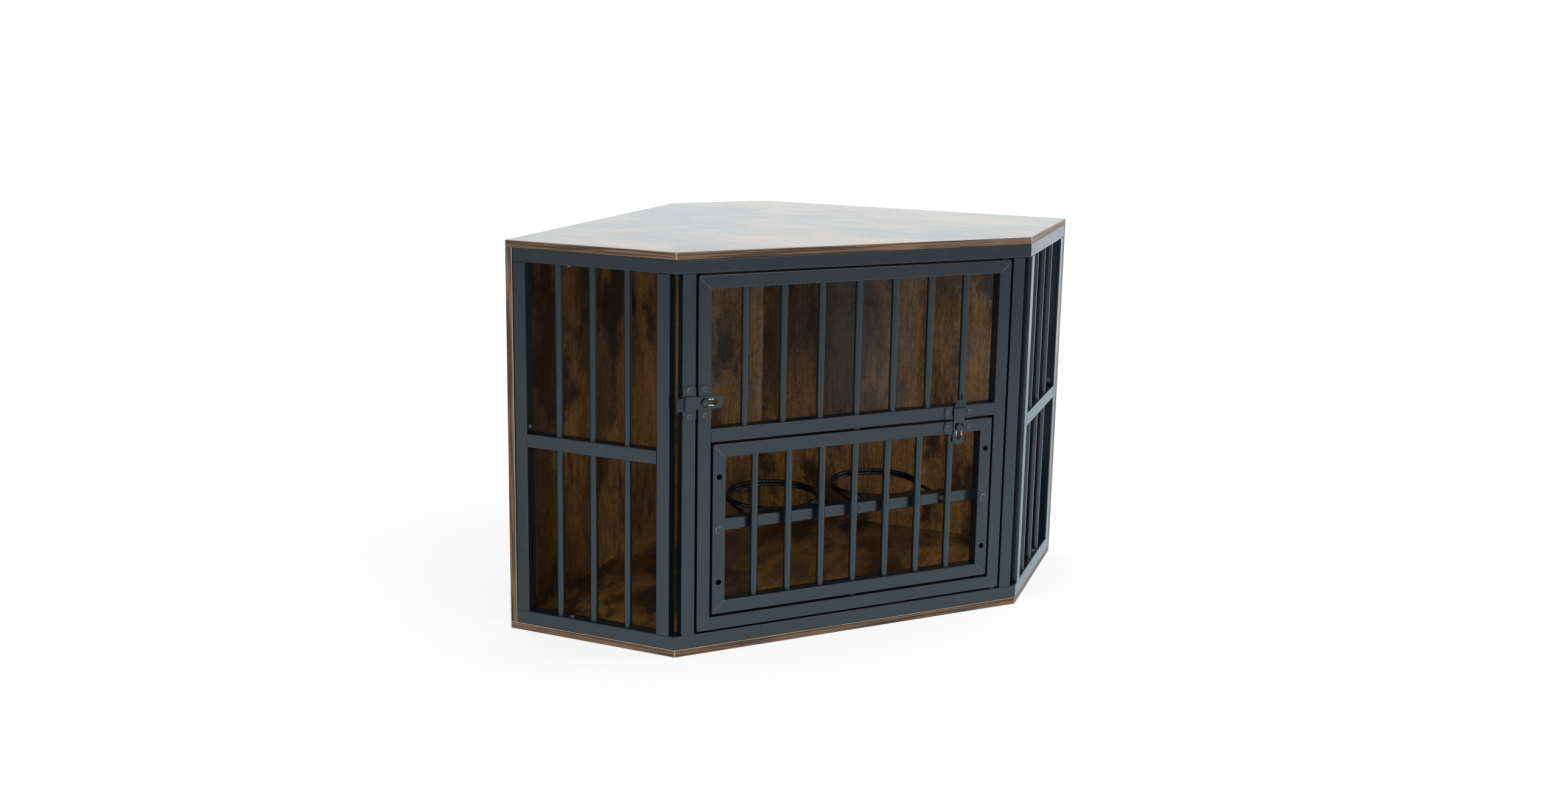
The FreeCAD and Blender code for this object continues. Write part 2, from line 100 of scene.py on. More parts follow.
def share(name, description, default):
    return bpy.props.FloatProperty(name=name, description=description, default=default,
                                   min=0.0, max=1.0, subtype="FACTOR")


class CrateSizes(bpy.types.PropertyGroup):
    """Sizes of the pieces that are modelled here and of the softened edges."""
    bar_diameter: length("Bar diameter", "Outer diameter of the round bars", 12.7 * MM)
    bar_fillet: length("Bar fillet", "Height of the paint fillet at a bar's ends", 1.2 * MM)
    tube_soften: length("Tube edge", "Softening of the cut ends of the square tubes", 0.45 * MM)
    sheet_soften: length("Sheet edge", "Softening of the edges of the latch plates", 0.45 * MM)
    weld_width: length("Weld width", "Width of the weld beads on the corner mitres", 4.6 * MM)
    weld_height: length("Weld height", "Height of the weld beads", 3.2 * MM)
    seam_width: length("Seam width", "Width of the dressed weld line on a door's mitre", 1.3 * MM)
    seam_height: length("Seam height", "Height of the dressed weld lines", 0.5 * MM)
    screw_soften: length("Screw edge", "Softening of the edges of screws and pins", 0.12 * MM)
    band_line: length("Band line", "Width of the pale line where the edge band ends", 0.9 * MM)


class CrateColours(bpy.types.PropertyGroup):
    """Colours of the finishes."""
    coat: colour("Frame coat", "Blue-black powder coat of the tubes and bars",
                 (0.0045, 0.0092, 0.0125))
    latch: colour("Latch coat", "Coat of the latches", (0.0070, 0.0100, 0.0120))
    # This near-black of the rings is also the colour of the painted shade on the latches' edges.
    wire: colour("Wire coat", "Near-black coat of the bowl rings", (0.003, 0.004, 0.006))
    steel: colour("Bare steel", "Worn edges of the latches", (0.86, 0.86, 0.84))
    plate: colour("Plating", "Plating of the small screws and pins", (0.26, 0.27, 0.28))
    board_gold: colour("Board gold", "Lightest tone of the printed wood", (0.290, 0.145, 0.043))
    board_brown: colour("Board brown", "Middle tone of the printed wood", (0.082, 0.041, 0.018))
    board_smoke: colour("Board smoke", "Dark blotches of the printed wood", (0.012, 0.009, 0.009))
    band: colour("Edge band", "Middle tone of the edge band", (0.195, 0.113, 0.068))
    band_dark: colour("Edge band grain", "Grain lines of the edge band", (0.040, 0.024, 0.017))
    band_pale: colour("Edge band line", "Pale line along the band's edge", (0.50, 0.39, 0.28))
    nylon: colour("Bush nylon", "Black nylon of the pivot bushes", (0.012, 0.012, 0.013))
    dust: colour("Dust", "Faint dust on the coats", (0.30, 0.31, 0.31))


class CrateStage(bpy.types.PropertyGroup):
    """Camera, lamps and floor."""
    camera_place: bpy.props.FloatVectorProperty(
        name="Camera place", description="Where the camera stands", size=3,
        default=(-1.0419, -2.3794, 0.9654), subtype="TRANSLATION", unit="LENGTH")
    camera_azimuth: bpy.props.FloatProperty(
        name="Azimuth", description="Turn of the view about Z, in degrees", default=-23.7263)
    camera_elevation: bpy.props.FloatProperty(
        name="Elevation", description="How far the view looks down, in degrees", default=10.2307)
    camera_roll: bpy.props.FloatProperty(
        name="Roll", description="Turn of the picture, in degrees", default=1.0235)
    camera_lens: bpy.props.FloatProperty(
        name="Lens", description="Focal length in millimetres", default=33.454)
    camera_shift: bpy.props.FloatProperty(
        name="Shift", description="Upward shift of the picture, in picture widths", default=-0.06)
    floor_size: length("Floor size", "Edge length of the floor", 30.0)
    fill: share("Fill light", "Strength of the even light from all round", 0.62)


def setting(group):
    return getattr(bpy.context.scene, group)


def rgba(name):
    return (*getattr(setting("crate_colours"), name), 1.0)


# ---- shader maths -------------------------------------------------------------------------------
class Value:
    """A shader socket in an expression. Each operation adds one Math node."""

    def __init__(self, shader, socket):
        self.shader = shader
        self.socket = socket

    def math(self, operation, a, b=0.5):
        return self.shader.node("ShaderNodeMath", {"operation": operation}, {0: a, 1: b})

    def __add__(self, other):
        return self.math("ADD", self, other)

    __radd__ = __add__

    def __sub__(self, other):
        return self.math("SUBTRACT", self, other)

    def __rsub__(self, other):
        return self.math("SUBTRACT", other, self)

    def __mul__(self, other):
        return self.math("MULTIPLY", self, other)

    __rmul__ = __mul__

    def __pow__(self, other):
        return self.math("POWER", self, other)

    def __abs__(self):
        return self.math("ABSOLUTE", self)

    def sine(self):
        return self.math("SINE", self)

    def at_least(self, other):
        return self.math("MAXIMUM", self, other)


class Shader:
    """A node tree that is built from expressions."""

    def __init__(self, tree):
        self.tree = tree

    def node(self, kind, settings=None, inputs=None, output=0):
        """Add a node: first its settings, then the values or links of its sockets."""
        made = self.tree.nodes.new(kind)
        for name, value in (settings or {}).items():
            setattr(made, name, value)
        for key, value in (inputs or {}).items():
            if isinstance(value, Value):
                self.tree.links.new(value.socket, made.inputs[key])
            else:
                made.inputs[key].default_value = value
        return Value(self, made.outputs[output])

    def axis(self, vector, axis):
        return self.node("ShaderNodeSeparateXYZ", {}, {0: vector}, "XYZ".index(axis))

    def ramp(self, value, low, high):
        """0 at low, 1 at high, with a straight line between them."""
        return self.node("ShaderNodeMapRange", {}, {0: value, 1: low, 2: high, 3: 0.0, 4: 1.0})

    def fade(self, value, low, high):
        """0 at low, 1 at high, with a smooth step between them."""
        return self.node("ShaderNodeMapRange", {"interpolation_type": "SMOOTHSTEP"},
                         {0: value, 1: low, 2: high, 3: 0.0, 4: 1.0})

    def glow(self, kind, tone, strength):
        return self.node(kind, {}, {"Color": (*tone, 1.0), "Strength": strength})

    def blend(self, amount, under, over):
        """One shader laid over another by an amount from 0 to 1."""
        return self.node("ShaderNodeMixShader", {}, {0: amount, 1: under, 2: over})

    def by_ray(self, rays, default, seen):
        """A shader that is `seen` for the named rays and `default` for all others."""
        hit = self.node("ShaderNodeLightPath", {}, {}, rays[0])
        for ray in rays[1:]:
            hit = hit.at_least(self.node("ShaderNodeLightPath", {}, {}, ray))
        return self.blend(hit, default, seen)


class Finish(Shader):
    """One material for a Principled surface."""

    def __init__(self, name, **constants):
        self.material = bpy.data.materials.new(name)
        self.material.use_nodes = True
        super().__init__(self.material.node_tree)
        self.surface = self.tree.nodes["Principled BSDF"]
        self.skin = Value(self, self.surface.outputs[0])
        for socket, value in constants.items():
            self.surface.inputs[socket.replace("_", " ")].default_value = value
        self.place = self.node("ShaderNodeTexCoord", {}, {}, "Object")
        self.normal = self.node("ShaderNodeTexCoord", {}, {}, "Normal")

    def feed(self, socket, value):
        self.tree.links.new(value.socket, self.surface.inputs[socket])

    def show(self, shader):
        """Let a shader be what the material shows, in place of the bare surface."""
        self.tree.links.new(shader.socket, self.tree.nodes["Material Output"].inputs["Surface"])

    def mapped(self, vector, scale=(1, 1, 1), shift=(0, 0, 0), turn=0.0):
        return self.node("ShaderNodeMapping", {"vector_type": "POINT"},
                         {"Vector": vector, "Scale": scale, "Location": shift,
                          "Rotation": (0, 0, turn)})

    def noise(self, vector, scale, detail=2.0, roughness=0.5, distortion=0.0):
        """Cloudy noise from 0 to 1, with scale blotches in a metre."""
        return self.node("ShaderNodeTexNoise", {},
                         {"Vector": vector, "Scale": scale, "Detail": detail,
                          "Roughness": roughness, "Distortion": distortion})

    def mix(self, factor, a, b, blend="MIX"):
        return self.node("ShaderNodeMix", {"data_type": "RGBA", "blend_type": blend},
                         {0: factor, 6: a, 7: b}, 2)

    def darken(self, tone, amount):
        """Multiply a colour by a grey value."""
        grey = self.node("ShaderNodeCombineColor", {}, {0: amount, 1: amount, 2: amount})
        return self.mix(1.0, tone, grey, "MULTIPLY")

    def lay_painted_shade(self, amount, tone, roughness):
        """Lay painted shade over the surface: a dark, dull shader mixed in by an amount from 0 to
        1.
        """
        dull = self.node("ShaderNodeBsdfPrincipled", {},
                         {"Base Color": tone, "Roughness": roughness,
                          "Specular IOR Level": 0.10})
        self.show(self.blend(amount, self.skin, dull))

    def turned_away(self, low, high):
        """1 where the surface turns away from the door's face, 0 where it lies along it."""
        return 1.0 - self.fade(abs(self.axis(self.normal, "Y")), low, high)

    def bump(self, height, strength, distance):
        self.feed("Normal", self.node("ShaderNodeBump", {},
                                      {"Strength": strength, "Distance": distance,
                                       "Height": height}))


# ---- metal and plastic finishes -----------------------------------------------------------------
SLOT_MIDDLE = 9.5 * MM               # middle of a slider's slot, from the stud at rest
SLOT_REACH = (4.0 * MM, 5.0 * MM)    # half the length of the worn slot, and where wear ends
SLOT_RIM = (5.0 * MM, 5.8 * MM)      # distance of the slot's rim from its centre line


def powder_coat(name, tone, roughness, specular, mottle=0.10):
    """Satin powder coat: an orange-peel skin, faint dust and slow changes of tone."""
    finish = Finish(name, Specular_IOR_Level=specular)
    peel = finish.noise(finish.place, 900.0, 2.0, 0.55)
    specks = finish.noise(finish.place, 2600.0, 1.0)
    cloud = finish.noise(finish.place, 7.0, 3.0, 0.6)
    rub = finish.noise(finish.place, 38.0, 4.0, 0.6)
    shade = (cloud - 0.5) * (2 * mottle) + (specks - 0.5) * mottle + 1.0
    dust = finish.fade(rub, 0.58, 0.80) * 0.03
    finish.feed("Base Color", finish.mix(dust, finish.darken(tone, shade), rgba("dust")))
    finish.feed("Roughness", (cloud - 0.5) * 0.08 + (rub - 0.5) * 0.10 + roughness)
    finish.bump(peel + specks * 0.35, strength=0.22, distance=0.06 * MM)
    return finish


def worn(finish, amount):
    """Let bare steel show through a coat by an amount from 0 to 1."""
    base = Value(finish, finish.surface.inputs["Base Color"].links[0].from_socket)
    rough = Value(finish, finish.surface.inputs["Roughness"].links[0].from_socket)
    finish.feed("Base Color", finish.mix(amount, base, rgba("steel")))
    finish.feed("Roughness", rough + amount * 0.10)
    finish.feed("Metallic", amount)


def painted_edge_shade(finish, bare=None):
    """Lay painted shade on a latch's edges, corners and tilted faces, except where it is worn
    bare.
    """
    # Painted shade: a dark, dull shader over the faces that turn away from the door's face, which
    # are the latch's edges, bevels and bent tab.
    amount = finish.turned_away(0.78, 0.995) * 0.92
    if bare is not None:
        amount = amount * (1.0 - bare)
    # The rings' near-black coat is used as the colour of this painted shade.
    finish.lay_painted_shade(amount, rgba("wire"), roughness=0.6)
    return finish.material


def frame_coat():
    """Blue-black satin coat of the tubes and bars."""
    return powder_coat("slate_powder_coat", rgba("coat"), roughness=0.25, specular=0.62).material


def wire_coat():
    """Glossier near-black coat of the bowl rings."""
    return powder_coat("wire_powder_coat", rgba("wire"), roughness=0.17, specular=0.42,
                       mottle=0.06).material


def seam_coat():
    """The frame's coat where it is rubbed thin over a dressed weld line."""
    finish = powder_coat("rubbed_powder_coat", rgba("coat"), roughness=0.28, specular=0.62)
    scuff = finish.noise(finish.place, 160.0, 3.0, 0.6)
    worn(finish, finish.fade(scuff, 0.30, 0.60) * 0.30 + 0.06)
    return finish.material


def latch_coat():
    """Coat of the latch plates, with painted shade on their edges."""
    return painted_edge_shade(powder_coat("latch_powder_coat", rgba("latch"), roughness=0.30, specular=0.64))


def slider_coat(name, stud, run):
    """Latch coat that is worn to bright steel where the stud rubs along the slot's rims, with
    painted shade on its edges.
    """
    finish = powder_coat(name, rgba("latch"), roughness=0.30, specular=0.64)
    from_stud = finish.node("ShaderNodeVectorMath", {"operation": "SUBTRACT"},
                            {0: finish.place, 1: stud})
    along = finish.node("ShaderNodeVectorMath", {"operation": "DOT_PRODUCT"},
                        {0: from_stud, 1: run}, "Value")
    sideways = finish.node("ShaderNodeVectorMath", {"operation": "CROSS_PRODUCT"},
                           {0: from_stud, 1: run})
    off_axis = finish.node("ShaderNodeVectorMath", {"operation": "LENGTH"},
                           {0: sideways}, "Value")
    near = 1.0 - finish.fade(abs(along - SLOT_MIDDLE), *SLOT_REACH)
    rim = 1.0 - finish.fade(off_axis, *SLOT_RIM)
    scuff = finish.noise(finish.place, 420.0, 3.0, 0.6)
    bright = near * rim * finish.fade(scuff, 0.40, 0.50)
    worn(finish, bright)
    return painted_edge_shade(finish, bright)


def fastener_coat():
    """Blackened screws whose rims and recess walls are rubbed bright."""
    finish = powder_coat("blackened_fasteners", rgba("latch"), roughness=0.30, specular=0.66,
                         mottle=0.08)
    scuff = finish.noise(finish.place, 700.0, 2.0, 0.6)
    worn(finish, finish.turned_away(0.55, 0.90) * finish.fade(scuff, 0.35, 0.55) * 0.8)
    return finish.material


def plated_steel():
    """Zinc-plated steel with fine turning marks and a few dull spots."""
    finish = Finish("plated_steel", Metallic=1.0)
    marks = finish.noise(finish.mapped(finish.place, (1, 1, 12)), 900.0, 2.0)
    dull = finish.fade(finish.noise(finish.place, 240.0, 3.0, 0.6), 0.45, 0.75)
    base = finish.darken(rgba("plate"), 1.0 - dull * 0.35 - (marks - 0.5) * 0.25)
    finish.feed("Base Color", base)
    finish.feed("Roughness", dull * 0.25 + (marks - 0.5) * 0.15 + 0.26)
    finish.bump(marks, strength=0.2, distance=0.04 * MM)
    return finish.material


def bush_nylon():
    """Dull black nylon with a fine grain."""
    finish = Finish("bush_nylon", Specular_IOR_Level=0.45)
    grain = finish.noise(finish.place, 1500.0, 3.0, 0.6)
    finish.feed("Base Color", finish.darken(rgba("nylon"), (grain - 0.5) * 0.5 + 1.0))
    finish.feed("Roughness", (grain - 0.5) * 0.2 + 0.48)
    finish.bump(grain, strength=0.2, distance=0.05 * MM)
    return finish.material


# ---- printed wood -------------------------------------------------------------------------------
NARROW_FACE = (0.55, 0.75)           # normal's share across the board, from edge to broad face
LINE_FADE = 0.3 * MM                 # soft side of the pale line on the edge band
CORNER_WEAR = (0.7 * MM, 1.3 * MM)   # reach of the pale wear on the band's upright corners
GRAIN_FINE, GRAIN_LONG = 420.0, 7.0  # band's grain lines in a metre, across and along them


def printed_wood(finish, place, lengthwise):
    """Golden and brown print with smoky blotches, saw marks, grain lines and flecks.

    Gives its colour, what it adds to the roughness, and its relief."""
    def stretched(keep, offset=(0.0, 0.0, 0.0)):
        """The print's place, drawn out along the wood: the less is kept, the longer."""
        scale = [1.0, 1.0, 1.0]
        scale["XYZ".index(lengthwise)] = keep
        return finish.mapped(place, tuple(scale), offset)

    broad = finish.noise(stretched(0.45), 5.0, 9.0, 0.62, 0.3)
    smoke = finish.noise(stretched(0.60, (3.1, 1.7, 5.3)), 9.5, 12.0, 0.70, 0.1)
    patch = finish.noise(stretched(0.38, (7.7, 2.9, 1.3)), 19.0, 12.0, 0.74, 0.1)
    cloud = finish.noise(stretched(0.60, (1.9, 8.3, 4.1)), 3.1, 3.0, 0.5)
    streak = finish.noise(stretched(0.035), 420.0, 3.0, 0.65)
    vein = finish.noise(stretched(0.060, (2.3, 0.7, 6.1)), 110.0, 6.0, 0.68, 0.3)
    saw = finish.noise(stretched(0.50, (5.9, 3.7, 2.9)), 210.0, 6.0, 0.78)
    contour = finish.noise(stretched(0.16), 6.4, 1.5, 0.45, 0.2)
    lines = finish.fade((contour * 170.0 + vein * 3.0).sine(), 0.35, 1.0)
    line_zone = finish.fade(patch, 0.46, 0.60)
    fleck = finish.fade(finish.noise(stretched(0.22), 120.0, 4.0, 0.70, 0.8), 0.62, 0.70)
    fleck_zone = finish.fade(finish.noise(stretched(0.4), 9.0, 2.0), 0.48, 0.62)
    flecks = fleck * fleck_zone

    golden = finish.fade(broad + (patch - 0.5) * 0.40, 0.38, 0.62)
    tone = finish.mix(golden, rgba("board_brown"), rgba("board_gold"))
    dark = finish.fade(smoke + (cloud - 0.5) * 0.60 + (vein - 0.5) * 0.15, 0.51, 0.63)
    tone = finish.mix(dark * 0.86, tone, rgba("board_smoke"))
    shade = ((streak - 0.5) * 1.50 + (vein - 0.5) * 1.70 + (saw - 0.5) * 2.60
             + (patch - 0.5) * 0.80 + 0.96)
    shade = shade * (1.0 - lines * line_zone * 0.30) * (1.0 - flecks * 0.85)
    uneven = (streak - 0.5) * 0.14 + (smoke - 0.5) * 0.10
    relief = streak * 0.6 + vein * 0.5 + saw * 0.3 - flecks * 0.6
    return finish.darken(tone, shade.at_least(0.05)), uneven, relief


def lying_board_edges(finish, name):
    """Where a lying board has its edge band, the band's pale line and corners, its grain."""
    top, line_share = {"floor_board": (BOARD, 0.85), "top_board": (HEIGHT, 0.35)}[name]
    line_start = top - setting("crate_sizes").band_line
    is_band = 1.0 - finish.fade(abs(finish.axis(finish.normal, "Z")), *NARROW_FACE)
    up = finish.axis(finish.place, "Z")
    depth = finish.axis(finish.place, "Y")
    sideways = abs(finish.axis(finish.place, "X"))
    pale = finish.fade(up, line_start - LINE_FADE, line_start) * line_share
    for x, y in ((HALF_FRONT, FRONT), (SIDE_X, SIDE_Y), (REAR_X, REAR_Y)):
        off = ((sideways - x) ** 2 + (depth - y) ** 2) ** 0.5
        near = 1.0 - finish.fade(off, *CORNER_WEAR)
        pale = (near * 0.7).at_least(pale)
    return is_band, pale, (GRAIN_LONG, GRAIN_LONG, GRAIN_FINE)


def upright_board_edges(finish, local, turn, outer):
    """Where an upright board has its edge band, the band's pale line, its grain."""
    line_end = outer - BOARD + setting("crate_sizes").band_line
    across = abs(finish.axis(finish.mapped(finish.normal, turn=-turn), "Y"))
    is_band = 1.0 - finish.fade(across, *NARROW_FACE)
    pale = (1.0 - finish.fade(finish.axis(local, "Y"), line_end, line_end + LINE_FADE)) * 0.8
    return is_band, pale, (GRAIN_FINE, GRAIN_FINE, GRAIN_LONG)


def edge_band(finish, grain, pale):
    """Colour of the edge band: dark grain lines, slow changes of tone and the pale line."""
    finer = tuple(3.1 * count for count in grain)
    ply = finish.noise(finish.mapped(finish.place, grain), 1.0, 3.0, 0.6, 0.3)
    fine = finish.noise(finish.mapped(finish.place, finer), 1.0, 2.0)
    tint = finish.noise(finish.place, 26.0, 2.0)
    band = finish.mix(finish.fade(ply, 0.44, 0.58) * 0.9, rgba("band"), rgba("band_dark"))
    band = finish.darken(band, (fine - 0.5) * 1.2 + (tint - 0.5) * 0.5 + 1.0)
    return finish.mix(pale, band, rgba("band_pale"))


def laminate(name, turn, lengthwise, shift, gloss, outer=None):
    """Printed rustic wood under a clear coat, with an edge band on its narrow faces.

    turn is the board's direction in plan, lengthwise the local axis that the wood runs along,
    shift moves the print, gloss is the weight of the clear coat, and outer is how far the
    outer face of an upright board lies out."""
    finish = Finish(name, Specular_IOR_Level=0.25, Coat_Roughness=0.13)
    local = finish.mapped(finish.place, turn=-turn)
    face, uneven, relief = printed_wood(finish, finish.mapped(local, shift=shift), lengthwise)
    if outer is None:
        is_band, pale, grain = lying_board_edges(finish, name)
    else:
        is_band, pale, grain = upright_board_edges(finish, local, turn, outer)
    finish.feed("Base Color", finish.mix(is_band, face, edge_band(finish, grain, pale)))
    finish.feed("Coat Weight", (1.0 - is_band) * gloss)
    finish.feed("Roughness", uneven + is_band * 0.12 + 0.34)
    finish.bump(relief, strength=0.30, distance=0.12 * MM)
    return finish.material


# ---- modelling helpers --------------------------------------------------------------------------
MERGE = 0.01 * MM     # points closer than this are one


def deselect():
    if bpy.context.mode != "OBJECT":
        bpy.ops.object.mode_set(mode="OBJECT")
    bpy.ops.object.select_all(action="DESELECT")


def pick(*pieces):
    deselect()
    for piece in pieces:
        piece.select_set(True)
    bpy.context.view_layer.objects.active = pieces[0]


def choose(piece, test, kind="VERT"):
    """In edit mode, select the vertices or faces that pass a test on their place and normal."""
    bpy.ops.mesh.select_mode(type=kind)
    bpy.ops.mesh.select_all(action="DESELECT")
    bpy.ops.object.mode_set(mode="OBJECT")
    for item in piece.data.vertices if kind == "VERT" else piece.data.polygons:
        place = item.co if kind == "VERT" else item.center
        item.select = bool(test(place, item.normal))
    bpy.ops.object.mode_set(mode="EDIT")


def apply_modifier(piece, kind, **settings):
    pick(piece)
    made = piece.modifiers.new(kind.lower(), kind)
    for name, value in settings.items():
        setattr(made, name, value)
    bpy.ops.object.modifier_apply(modifier=made.name)


def settle(piece):
    """Put the piece's place into its mesh."""
    pick(piece)
    bpy.ops.object.transform_apply(location=True, rotation=True, scale=True)


def smooth(piece, angle=35.0):
    pick(piece)
    bpy.ops.object.shade_smooth_by_angle(angle=math.radians(angle))
    apply_modifier(piece, "WEIGHTED_NORMAL", weight=80, keep_sharp=True)


def join(name, pieces):
    pick(*pieces)
    if len(pieces) > 1:
        bpy.ops.object.join()
    joined = bpy.context.view_layer.objects.active
    joined.name = name
    joined.data.name = name
    return joined


def hand_over(piece, material, body, slot, *nodes):
    """Paint a piece, fix it to its body and let it stand for construction nodes."""
    piece.data.materials.clear()
    piece.data.materials.append(material)
    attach(piece, body)
    if nodes:
        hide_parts(*nodes)


def dressed(node, material, soften, segments=2):
    """A merged copy of a node with its sharp edges softened and its round faces smooth."""
    piece = bpy.data.objects.new(node + "_dressed", frame["nodes"][node].data.copy())
    bpy.context.scene.collection.objects.link(piece)
    pick(piece)
    if piece.data.has_custom_normals:
        bpy.ops.mesh.customdata_custom_splitnormals_clear()
    bpy.ops.object.mode_set(mode="EDIT")
    bpy.ops.mesh.select_mode(type="VERT")
    bpy.ops.mesh.select_all(action="SELECT")
    bpy.ops.mesh.remove_doubles(threshold=MERGE)
    bpy.ops.mesh.dissolve_limited(angle_limit=math.radians(1.0))
    bpy.ops.object.mode_set(mode="OBJECT")
    if soften > 0:
        apply_modifier(piece, "BEVEL", width=soften, segments=segments, limit_method="ANGLE",
                       angle_limit=math.radians(42), use_clamp_overlap=True,
                       harden_normals=False)
    smooth(piece)
    hand_over(piece, material, body_of[node], slot_of[node], node)


def nodes_in(slot, *without):
    return [node for node in sorted(slot_of) if slot_of[node] == slot and node not in without]


# ---- stage --------------------------------------------------------------------------------------
WHITE = (1.0, 1.0, 1.0)
PAPER_TONE = (0.86, 0.86, 0.86, 1.0)
FILL_TINT = (0.96, 0.99, 1.0)        # even light from all round
FLOOR_TINT = (0.66, 0.88, 1.0)       # daylight on the floor, as the gloss mirrors it
SURROUND_TINT = (0.89, 0.96, 1.0)    # daylight of the surround, as the gloss mirrors it
FLOOR_DROP = 0.4 * MM                # keeps the floor clear of the floor board
SENSOR_WIDTH = 36.0                  # of the camera, in millimetres
VIEW_REACH = 100.0                   # of the camera, in metres
SEEN_RAYS = ("Is Camera Ray", "Is Transmission Ray")
MIRRORED_RAYS = ("Is Glossy Ray",)
# Each lamp's name, place, target, size in metres, power in watts, and whether gloss mirrors it.
LAMPS = (
    ("lamp_right", (2.10, 0.52, 0.62), (0.42, -0.21, 0.40), (1.7, 1.2), 5.0, True),
    ("lamp_high_right", (2.4, -0.6, 2.2), (0.3, -0.1, 0.3), (1.6, 1.6), 28.0, False),
    ("lamp_left", (-2.8, -1.2, 1.7), (-0.2, -0.1, 0.3), (2.0, 2.0), 22.0, False),
    ("lamp_front", (0.6, -3.2, 2.0), (0.0, 0.0, 0.3), (2.4, 1.6), 26.0, True),
    ("lamp_top", (0.0, 0.2, 3.2), (0.0, 0.0, 0.0), (2.6, 2.6), 24.0, True),
)


def view_matrix(stage):
    """Camera axes for an azimuth that looks along +Y at 0, an elevation and a roll."""
    a, e, r = (math.radians(v) for v in
               (stage.camera_azimuth, stage.camera_elevation, stage.camera_roll))
    back = Vector((math.sin(a) * math.cos(e), -math.cos(a) * math.cos(e), math.sin(e)))
    right = (-back).cross(Vector((0, 0, 1))).normalized()
    up = right.cross(-back)
    rolled_right = right * math.cos(r) + up * math.sin(r)
    rolled_up = -right * math.sin(r) + up * math.cos(r)
    turn = Matrix((rolled_right, rolled_up, back)).transposed()
    return Matrix.Translation(Vector(stage.camera_place)) @ turn.to_4x4()


def area_lamp(name, place, target, size, power, mirrored):
    """A soft lamp. One that isn't mirrored leaves no white patch on the glossy top."""
    direction = Vector(target) - Vector(place)
    bpy.ops.object.light_add(type="AREA", location=place,
                             rotation=direction.to_track_quat("-Z", "Y").to_euler())
    lamp = bpy.context.view_layer.objects.active
    lamp.name = name
    lamp.data.shape = "RECTANGLE"
    lamp.data.size, lamp.data.size_y = size
    lamp.data.energy = power
    lamp.visible_camera = False
    lamp.visible_glossy = mirrored


def pale_floor():
    """Matt white paper: white to the eye apart from a faint shadow, cool in reflections."""
    floor = Finish("pale_floor", Base_Color=PAPER_TONE, Roughness=0.9, Specular_IOR_Level=0.0)
    distance = floor.node("ShaderNodeVectorMath", {"operation": "LENGTH"},
                          {0: floor.place}, "Value")

    def light(tone, strength):
        return floor.glow("ShaderNodeEmission", tone, strength)

    cool = floor.blend(floor.ramp(distance, 0.8, 4.0),
                       light(FLOOR_TINT, 1.50), light(FLOOR_TINT, 0.70))
    left = 1.0 - floor.ramp(floor.axis(floor.place, "X"), -0.9, -0.4)
    behind = floor.ramp(floor.axis(floor.place, "Y"), -0.45, -0.05)
    cool = floor.blend(left * behind * 0.75, cool, light(FLOOR_TINT, 0.0))
    mirrored = floor.by_ray(MIRRORED_RAYS, floor.skin, floor.blend(0.7, floor.skin, cool))

    white = floor.blend(floor.ramp(distance, 1.0, 5.0), light(WHITE, 1.06), light(WHITE, 1.60))
    seen = floor.blend(0.72, floor.skin, white)
    floor.show(floor.by_ray(SEEN_RAYS, mirrored, seen))
    return floor.material


def white_surround(scene, fill):
    """Even light from all round: white to the eye, in reflections cool and darker in front."""
    world = bpy.data.worlds.new("white_surround")
    scene.world = world
    world.use_nodes = True
    world.node_tree.nodes.remove(world.node_tree.nodes["Background"])
    surround = Shader(world.node_tree)

    def light(tone, strength):
        return surround.glow("ShaderNodeBackground", tone, strength)

    direction = surround.node("ShaderNodeTexCoord", {}, {}, "Object")
    behind = surround.ramp(surround.axis(direction, "Y"), -0.35, 0.25)
    cool = surround.blend(behind, light(SURROUND_TINT, 0.50), light(SURROUND_TINT, 1.05))
    result = surround.by_ray(MIRRORED_RAYS, light(FILL_TINT, fill), cool)
    result = surround.by_ray(SEEN_RAYS, result, light(WHITE, 1.0))
    world.node_tree.links.new(result.socket, world.node_tree.nodes["World Output"].inputs[0])


class CRATE_OT_stage(bpy.types.Operator):
    """Set the floor, the white surround, the soft lamps and the camera"""
    bl_idname = "crate.stage"
    bl_label = "Stage"

    def execute(self, context):
        stage = setting("crate_stage")
        deselect()
        bpy.ops.mesh.primitive_plane_add(size=stage.floor_size, location=(0, 0, -FLOOR_DROP))
        floor = bpy.context.view_layer.objects.active
        floor.name = "floor"
        floor.data.materials.append(pale_floor())
        white_surround(context.scene, stage.fill)
        for lamp in LAMPS:
            area_lamp(*lamp)
        bpy.ops.object.camera_add()
        camera = bpy.context.view_layer.objects.active
        camera.name = "camera"
        camera.matrix_world = view_matrix(stage)
        camera.data.lens = stage.camera_lens
        camera.data.sensor_width = SENSOR_WIDTH
        camera.data.shift_y = stage.camera_shift
        camera.data.clip_end = VIEW_REACH
        context.scene.camera = camera
        context.scene.view_settings.view_transform = "Standard"
        return {"FINISHED"}


# ---- boards -------------------------------------------------------------------------------------
class CRATE_OT_boards(bpy.types.Operator):
    """Finish the five boards in printed wood with an edge band"""
    bl_idname = "crate.boards"
    bl_label = "Boards"

    def execute(self, context):
        slant = math.radians(45)
        side_outer = (SIDE_X + SIDE_Y) * SLOPE
        plans = {
            "top_board": (-slant, "X", (0.0, 0.0, 0.0), 1.0, None),
            "floor_board": (slant, "X", (4.0, 2.0, 0.0), 0.40, None),
            "left_back_board": (slant, "Z", (1.3, 0.0, 0.4), 0.45, side_outer),
            "right_back_board": (-slant, "Z", (6.1, 0.0, 2.2), 0.45, side_outer),
            "rear_corner_board": (0.0, "Z", (9.4, 0.0, 3.7), 0.45, REAR_Y),
        }
        for node, plan in plans.items():
            dressed(node, laminate(node, *plan), 0.0)
        return {"FINISHED"}


